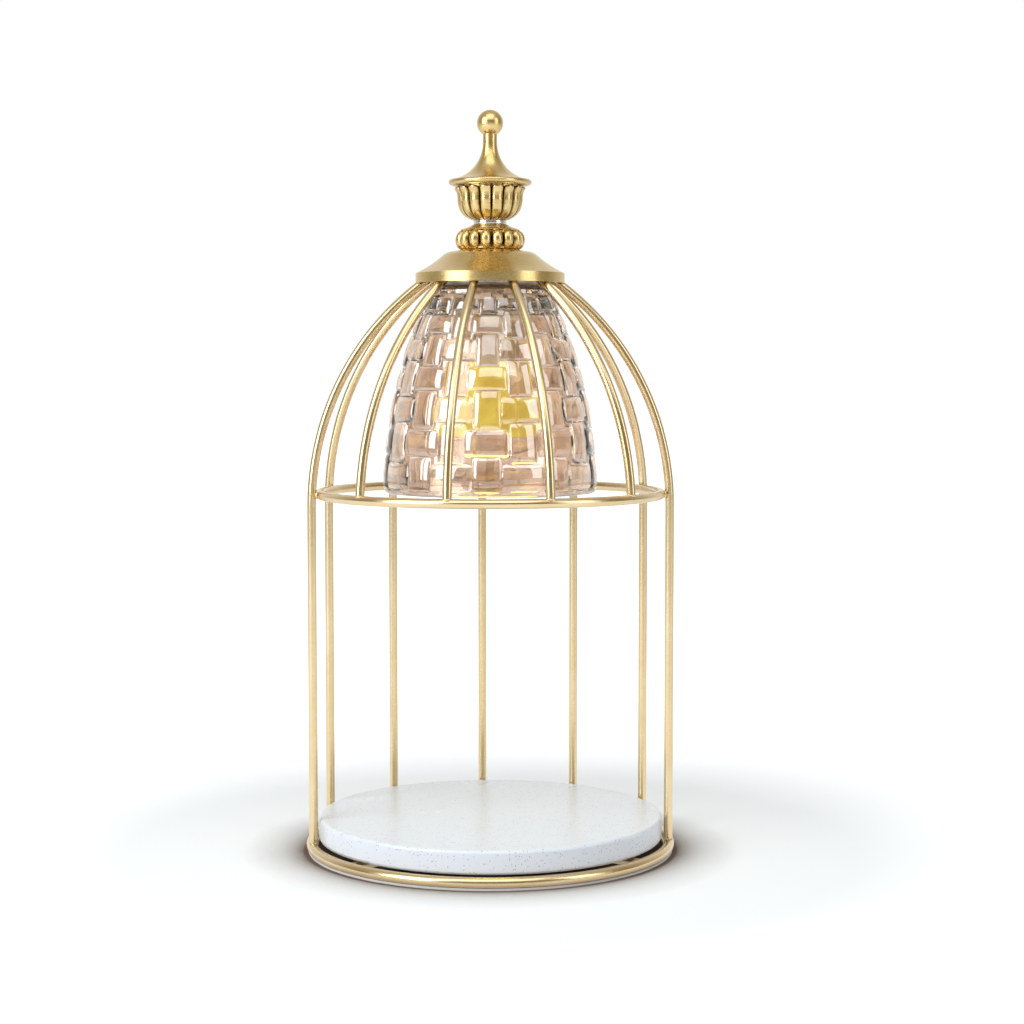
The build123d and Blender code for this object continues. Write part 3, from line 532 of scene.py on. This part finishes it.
def weave_rings(angles, end):
    """Rings over the tiles, along the outline from the mouth band to the shoulder, which starts at end."""
    rows = weave_rows()
    places = set()
    for below, above in zip([2 * rows[0] - rows[1]] + rows, rows):
        for step in ROW_STEPS:
            places.add(above + step * (above - below))
            places.add(above - step * (above - below))
    places = sorted(along for along in places if MOUTH_BAND < along < end - WEAVE_FADE[1])

    def ring(along):
        row = row_number(along, rows)
        start = smooth_step(MOUTH_BAND, MOUTH_BAND + WEAVE_START, along)
        rise = start * (1 - smooth_step(end - WEAVE_FADE[0], end - WEAVE_FADE[1], along))

        def place(k):
            radius, height = shade_outline(along, WEAVE_DEPTH * (1 - rise * relief(angles[k], row)))
            return polar(radius, angles[k], height)
        return place

    apart = [above for below, above in zip(places, places[1:]) if above - below > RING_GAP]
    return [ring(along) for along in places[:1] + apart]


def inner_rings(angles, lip_radius):
    """Rings down the pressed inside, which is a little uneven between its ends."""
    start = INNER_REACH * SHADE_BOW * atan2(shade_top - SHADE_TOP_GLASS - shade_foot, SHADE_BOW)

    def ring(share):
        along = start * (1 - share) + lip_radius * share
        rise = along / MM
        wave_height = INNER_WAVE * min(1.0, share / INNER_CALM, (1 - share) / INNER_CALM)

        def place(k):
            turn = angles[k]
            wave = sin(9 * turn + 0.21 * rise) + sin(14 * turn - 0.33 * rise + 1)
            wave += sin(0.47 * rise + 3 * sin(turn))
            radius, height = shade_outline(along, SHADE_GLASS + wave_height * wave)
            return polar(radius, turn, height)
        return place

    return [ring(step / INNER_STEPS) for step in range(INNER_STEPS + 1)]


def shade_rings(angles):
    """All rings: round lip, mouth band, weave, shoulder, flat top with its hole, and the inside."""
    lip_inset = LIP_INSET * WEAVE_DEPTH
    lip_radius = (SHADE_GLASS - lip_inset) / 2
    middle, base = shade_outline(0, SHADE_GLASS - lip_radius)
    turns = [pi * step / ROUND_STEPS for step in range(ROUND_STEPS + 1)]
    sections = [(middle - lip_radius * cos(turn), base + lip_radius * (1 - sin(turn))) for turn in turns]
    sections.append(shade_outline(BAND_BEND * MOUTH_BAND, lip_inset))
    sections.append(shade_outline(MOUTH_BAND, WEAVE_DEPTH))
    rings = [level_ring(angles, *section) for section in sections]

    end = SHADE_BOW * asin((shade_top - SHADE_SHOULDER - shade_foot) / SHADE_BOW)
    rings += weave_rings(angles, end)

    radius, height = shade_outline(end, SHOULDER_INSET * WEAVE_DEPTH)
    turns = [pi / 2 * step / ROUND_STEPS for step in range(1, ROUND_STEPS + 1)]
    sections = [
        (radius - SHADE_SHOULDER * (1 - cos(turn)), height + (shade_top - height) * sin(turn))
        for turn in turns
    ]
    sections.append(((radius + SHADE_HOLE) / 2, shade_top))
    sections.append((SHADE_HOLE + HOLE_EDGE, shade_top))
    sections.append((SHADE_HOLE, shade_top - HOLE_EDGE))
    sections.append((SHADE_HOLE, shade_top - SHADE_TOP_GLASS))
    rings += [level_ring(angles, *section) for section in sections]
    return rings + inner_rings(angles, lip_radius)


def make_shade():
    steps = sorted({step * side for step in COLUMN_STEPS for side in (1, -1)} | {0.5})
    columns = range(WEAVE_COLUMNS)
    angles = [WEAVE_TURN + (column + step) * column_turn for column in columns for step in steps]
    bm = bmesh.new()
    lathe(bm, shade_rings(angles), len(angles))
    shade = mesh_object("pressed_glass_shade", bm, lustre_glass(), sharp=radians(50))
    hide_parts("glass_shade")
    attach(shade, "frame")


make_shade()


# ---- Finial: gadrooned cup and beaded collar ----

def profile_radius(profile, height):
    """Radius of a profile at a height."""
    for (low_radius, low), (high_radius, high) in zip(profile, profile[1:]):
        if height <= high:
            return low_radius + (high_radius - low_radius) * (height - low) / (high - low)
    return profile[-1][0]


def make_cup():
    low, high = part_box("fluted_cup")
    foot, rim = low.z, high.z
    lobe_top = (rim - foot) / MM - LOBE_GAP
    angles = [(k + (step + 1) / 2) * 2 * pi / CUP_LOBES for k in range(CUP_LOBES) for step in LOBE_STEPS]
    # How far a lobe's round face stands behind its middle, from 0 to 1 in the grooves
    behind = [1 - sqrt(1 - step * step) for step in LOBE_STEPS] * CUP_LOBES

    def lobed_ring(share):
        depth = GROOVE_DEPTH * min(1.0, GROOVE_FOOT + (1 - GROOVE_FOOT) * share / GROOVE_FULL)
        curl = max((share - LOBE_CURL_FROM) / (1 - LOBE_CURL_FROM), 0.0)
        tuck = LOBE_CURL * (1 - sqrt(1 - curl * curl))

        def place(k):
            height = share * (lobe_top - LOBE_ROUND * behind[k])
            radius = profile_radius(CUP_PROFILE, height) - depth * behind[k] - tuck
            return polar(radius * MM, angles[k], foot + height * MM)
        return place

    def core_ring(k):
        return polar(CUP_CORE * MM, angles[k], foot + (lobe_top - LOBE_ROUND * behind[k]) * MM)

    rings = [lobed_ring(step / CUP_STEPS) for step in range(CUP_STEPS + 1)]
    rings.append(core_ring)
    rings.append(level_ring(angles, CUP_CORE * MM, rim))
    rings.append(level_ring(angles, (CUP_CORE - CUP_RIM) * MM, rim))
    rings.append(level_ring(angles, CUP_BORE * MM, foot + CUP_FLOOR * MM))
    rings.append(level_ring(angles, CUP_BORE * MM, foot))
    bm = bmesh.new()
    lathe(bm, rings, len(angles))
    cup = mesh_object("gadrooned_cup", bm, cup_gold, sharp=radians(40))
    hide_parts("fluted_cup")
    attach(cup, "frame")


def make_collar():
    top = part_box("beaded_collar")[1].z
    angles = [2 * pi * k / COLLAR_SIDES for k in range(COLLAR_SIDES)]
    rings = [level_ring(angles, radius * MM, collar_foot + height * MM) for radius, height in COLLAR_PROFILE]
    rings.append(level_ring(angles, COLLAR_BORE * MM, top))
    bm = bmesh.new()
    lathe(bm, rings, COLLAR_SIDES)
    for k in range(COLLAR_BEADS):
        turn = 2 * pi * (k + 0.5) / COLLAR_BEADS
        middle = polar(BEAD_RADIUS * MM, turn, collar_foot + BEAD_MIDDLE * MM)
        bead(bm, middle, BEAD_HALF, turn, segments=(20, 14))
    collar = mesh_object("oval_beaded_collar", bm, bead_gold, sharp=radians(40))
    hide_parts("beaded_collar")
    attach(collar, "frame")


make_cup()
make_collar()


# ---- Welds where the ribs meet the rings ----

def make_welds():
    """Flat beads where short ribs end and long ribs stand, and small ones beside long ribs at the waist."""
    end_half, foot_half, side_half = (2.3, 2.2, 0.8), (2.25, 2.2, 0.8), (0.9, 0.9, 1.5)
    end_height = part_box("waist_ring")[1].z - 0.35 * MM
    side_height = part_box("waist_ring")[1].z - 2 * MM
    foot_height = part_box("base_ring")[1].z - 0.3 * MM
    side_radius = WAIST_RADIUS + 1.6 * MM
    side_turn = 1.5 * MM / WAIST_RADIUS

    bm = bmesh.new()
    for place in range(RIB_PLACES):
        angle = 180.0 - 360.0 * place / RIB_PLACES
        turn = radians(angle)
        if abs(angle) < OPEN_ANGLE:
            beads = [(polar(WAIST_RADIUS, turn, end_height), end_half)]
        else:
            sides = (turn - side_turn, turn + side_turn)
            beads = [(polar(side_radius, side, side_height), side_half) for side in sides]
            beads.append((polar(RIB_RADIUS, turn, foot_height), foot_half))
        for centre, half in beads:
            bead(bm, centre, half, turn, segments=(16, 10))
    welds = mesh_object("weld_beads", bm, wire_gold)
    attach(welds, "frame")


make_welds()


# ---- Stage, light and camera ----

def make_floor():
    """A floor with a painted brown contact shadow under the lamp, shaded round it, and white farther away."""
    bpy.ops.mesh.primitive_plane_add(size=FLOOR_SIZE)
    floor = bpy.context.object
    floor.name = "studio_floor"
    material, tree, output = empty_material("studio_floor")
    openness = node(tree, "ShaderNodeAmbientOcclusion", samples=16)
    openness.inputs["Distance"].default_value = CONTACT_REACH
    # how strongly the painted contact shadow shows, from the floor's open share of sky
    contact = spread(tree, openness.outputs["AO"], CONTACT_OPEN)
    matte = node(tree, "ShaderNodeBsdfDiffuse")
    tree.links.new(mixed(tree, contact, CONTACT_SHADOW_COLOUR, FLOOR_COLOUR), matte.inputs["Color"])

    rays = node(tree, "ShaderNodeLightPath").outputs
    direct = computed(tree, "MAXIMUM", rays["Is Camera Ray"], rays["Is Transmission Ray"])
    far = spread(tree, length(tree, object_point(tree)), FLOOR_RING, (FLOOR_LIFT, 1.0))
    # the floor's glow for the camera is dimmed by the same painted contact shadow
    shaded = computed(tree, "MULTIPLY", computed(tree, "MULTIPLY", direct, far), contact)
    mirrored = computed(tree, "MULTIPLY", rays["Is Glossy Ray"], FLOOR_MIRRORED)
    glow = node(tree, "ShaderNodeEmission")
    tree.links.new(computed(tree, "MAXIMUM", shaded, mirrored), glow.inputs["Strength"])

    both = node(tree, "ShaderNodeAddShader")
    tree.links.new(matte.outputs[0], both.inputs[0])
    tree.links.new(glow.outputs[0], both.inputs[1])
    tree.links.new(both.outputs[0], output.inputs[0])
    floor.data.materials.append(material)


def make_world():
    """White behind the lamp and darker in front, where metal shows the gap between the softboxes."""
    world = bpy.data.worlds.new("studio")
    scene.world = world
    world.use_nodes = True
    tree = world.node_tree
    tree.nodes.clear()
    output = node(tree, "ShaderNodeOutputWorld")
    split = node(tree, "ShaderNodeSeparateXYZ")
    tree.links.new(node(tree, "ShaderNodeTexCoord").outputs["Generated"], split.inputs[0])
    rays = node(tree, "ShaderNodeLightPath").outputs

    def studio(front, depth, strength, ceiling=0.0):
        """Light from all round for one kind of ray: front's colour, white past a depth, paler overhead."""
        behind = spread(tree, split.outputs["Y"], depth)
        above = spread(tree, split.outputs["Z"], CEILING_RISE, (0.0, ceiling))
        shell = node(tree, "ShaderNodeBackground")
        shell.inputs["Strength"].default_value = strength
        whiteness = computed(tree, "MAXIMUM", behind, above)
        tree.links.new(mixed(tree, whiteness, front, (1, 1, 1)), shell.inputs["Color"])
        return shell.outputs[0]

    def choose(ray, otherwise, chosen):
        choice = node(tree, "ShaderNodeMixShader")
        for socket, source in zip(choice.inputs, (rays[ray], otherwise, chosen)):
            tree.links.new(source, socket)
        return choice.outputs[0]

    soft = studio((0.31, 0.31, 0.32), depth=(-0.6, 0.4), strength=0.50)
    mirrored = studio((0.28, 0.24, 0.17), depth=(0.0, 0.95), strength=1.0, ceiling=0.6)
    through = studio((0.30, 0.20, 0.14), depth=(-0.7, 0.25), strength=1.0)
    white = studio((1, 1, 1), depth=(-1.0, 1.0), strength=1.0)
    light = choose("Is Glossy Ray", soft, mirrored)
    light = choose("Is Transmission Ray", light, through)
    light = choose("Is Camera Ray", light, white)
    tree.links.new(light, output.inputs[0])


def softbox(name, place, aim_height, size, watts):
    """A rectangular lamp that faces a point on the object's axis."""
    light = bpy.data.lights.new(name, "AREA")
    light.shape = "RECTANGLE"
    light.size, light.size_y = size
    light.energy = watts
    light.color = STUDIO_WHITE
    lamp = bpy.data.objects.new(name, light)
    scene.collection.objects.link(lamp)
    lamp.location = place
    aim = Vector((0, 0, aim_height)) - Vector(place)
    lamp.rotation_euler = aim.to_track_quat("-Z", "Y").to_euler()


def make_camera():
    data = bpy.data.cameras.new("camera")
    data.sensor_width = SENSOR
    data.lens = FOCAL_PIXELS / IMAGE_SIZE * SENSOR
    data.clip_start = CAMERA_NEAR
    camera = bpy.data.objects.new("camera", data)
    scene.collection.objects.link(camera)
    camera.location = CAMERA_PLACE
    camera.rotation_euler = (pi / 2 + CAMERA_PITCH, 0, CAMERA_YAW)
    scene.camera = camera


make_floor()
make_world()
softbox("softbox_left", place=(-0.86, -0.62, 0.62), aim_height=0.2, size=(0.72, 0.95), watts=10)
softbox("softbox_right", place=(0.90, -0.58, 0.58), aim_height=0.2, size=(0.50, 0.90), watts=3)
softbox("softbox_top", place=(0.0, -0.62, 1.10), aim_height=0.1, size=(1.0, 1.0), watts=5)
make_camera()
scene.view_settings.view_transform = "Standard"
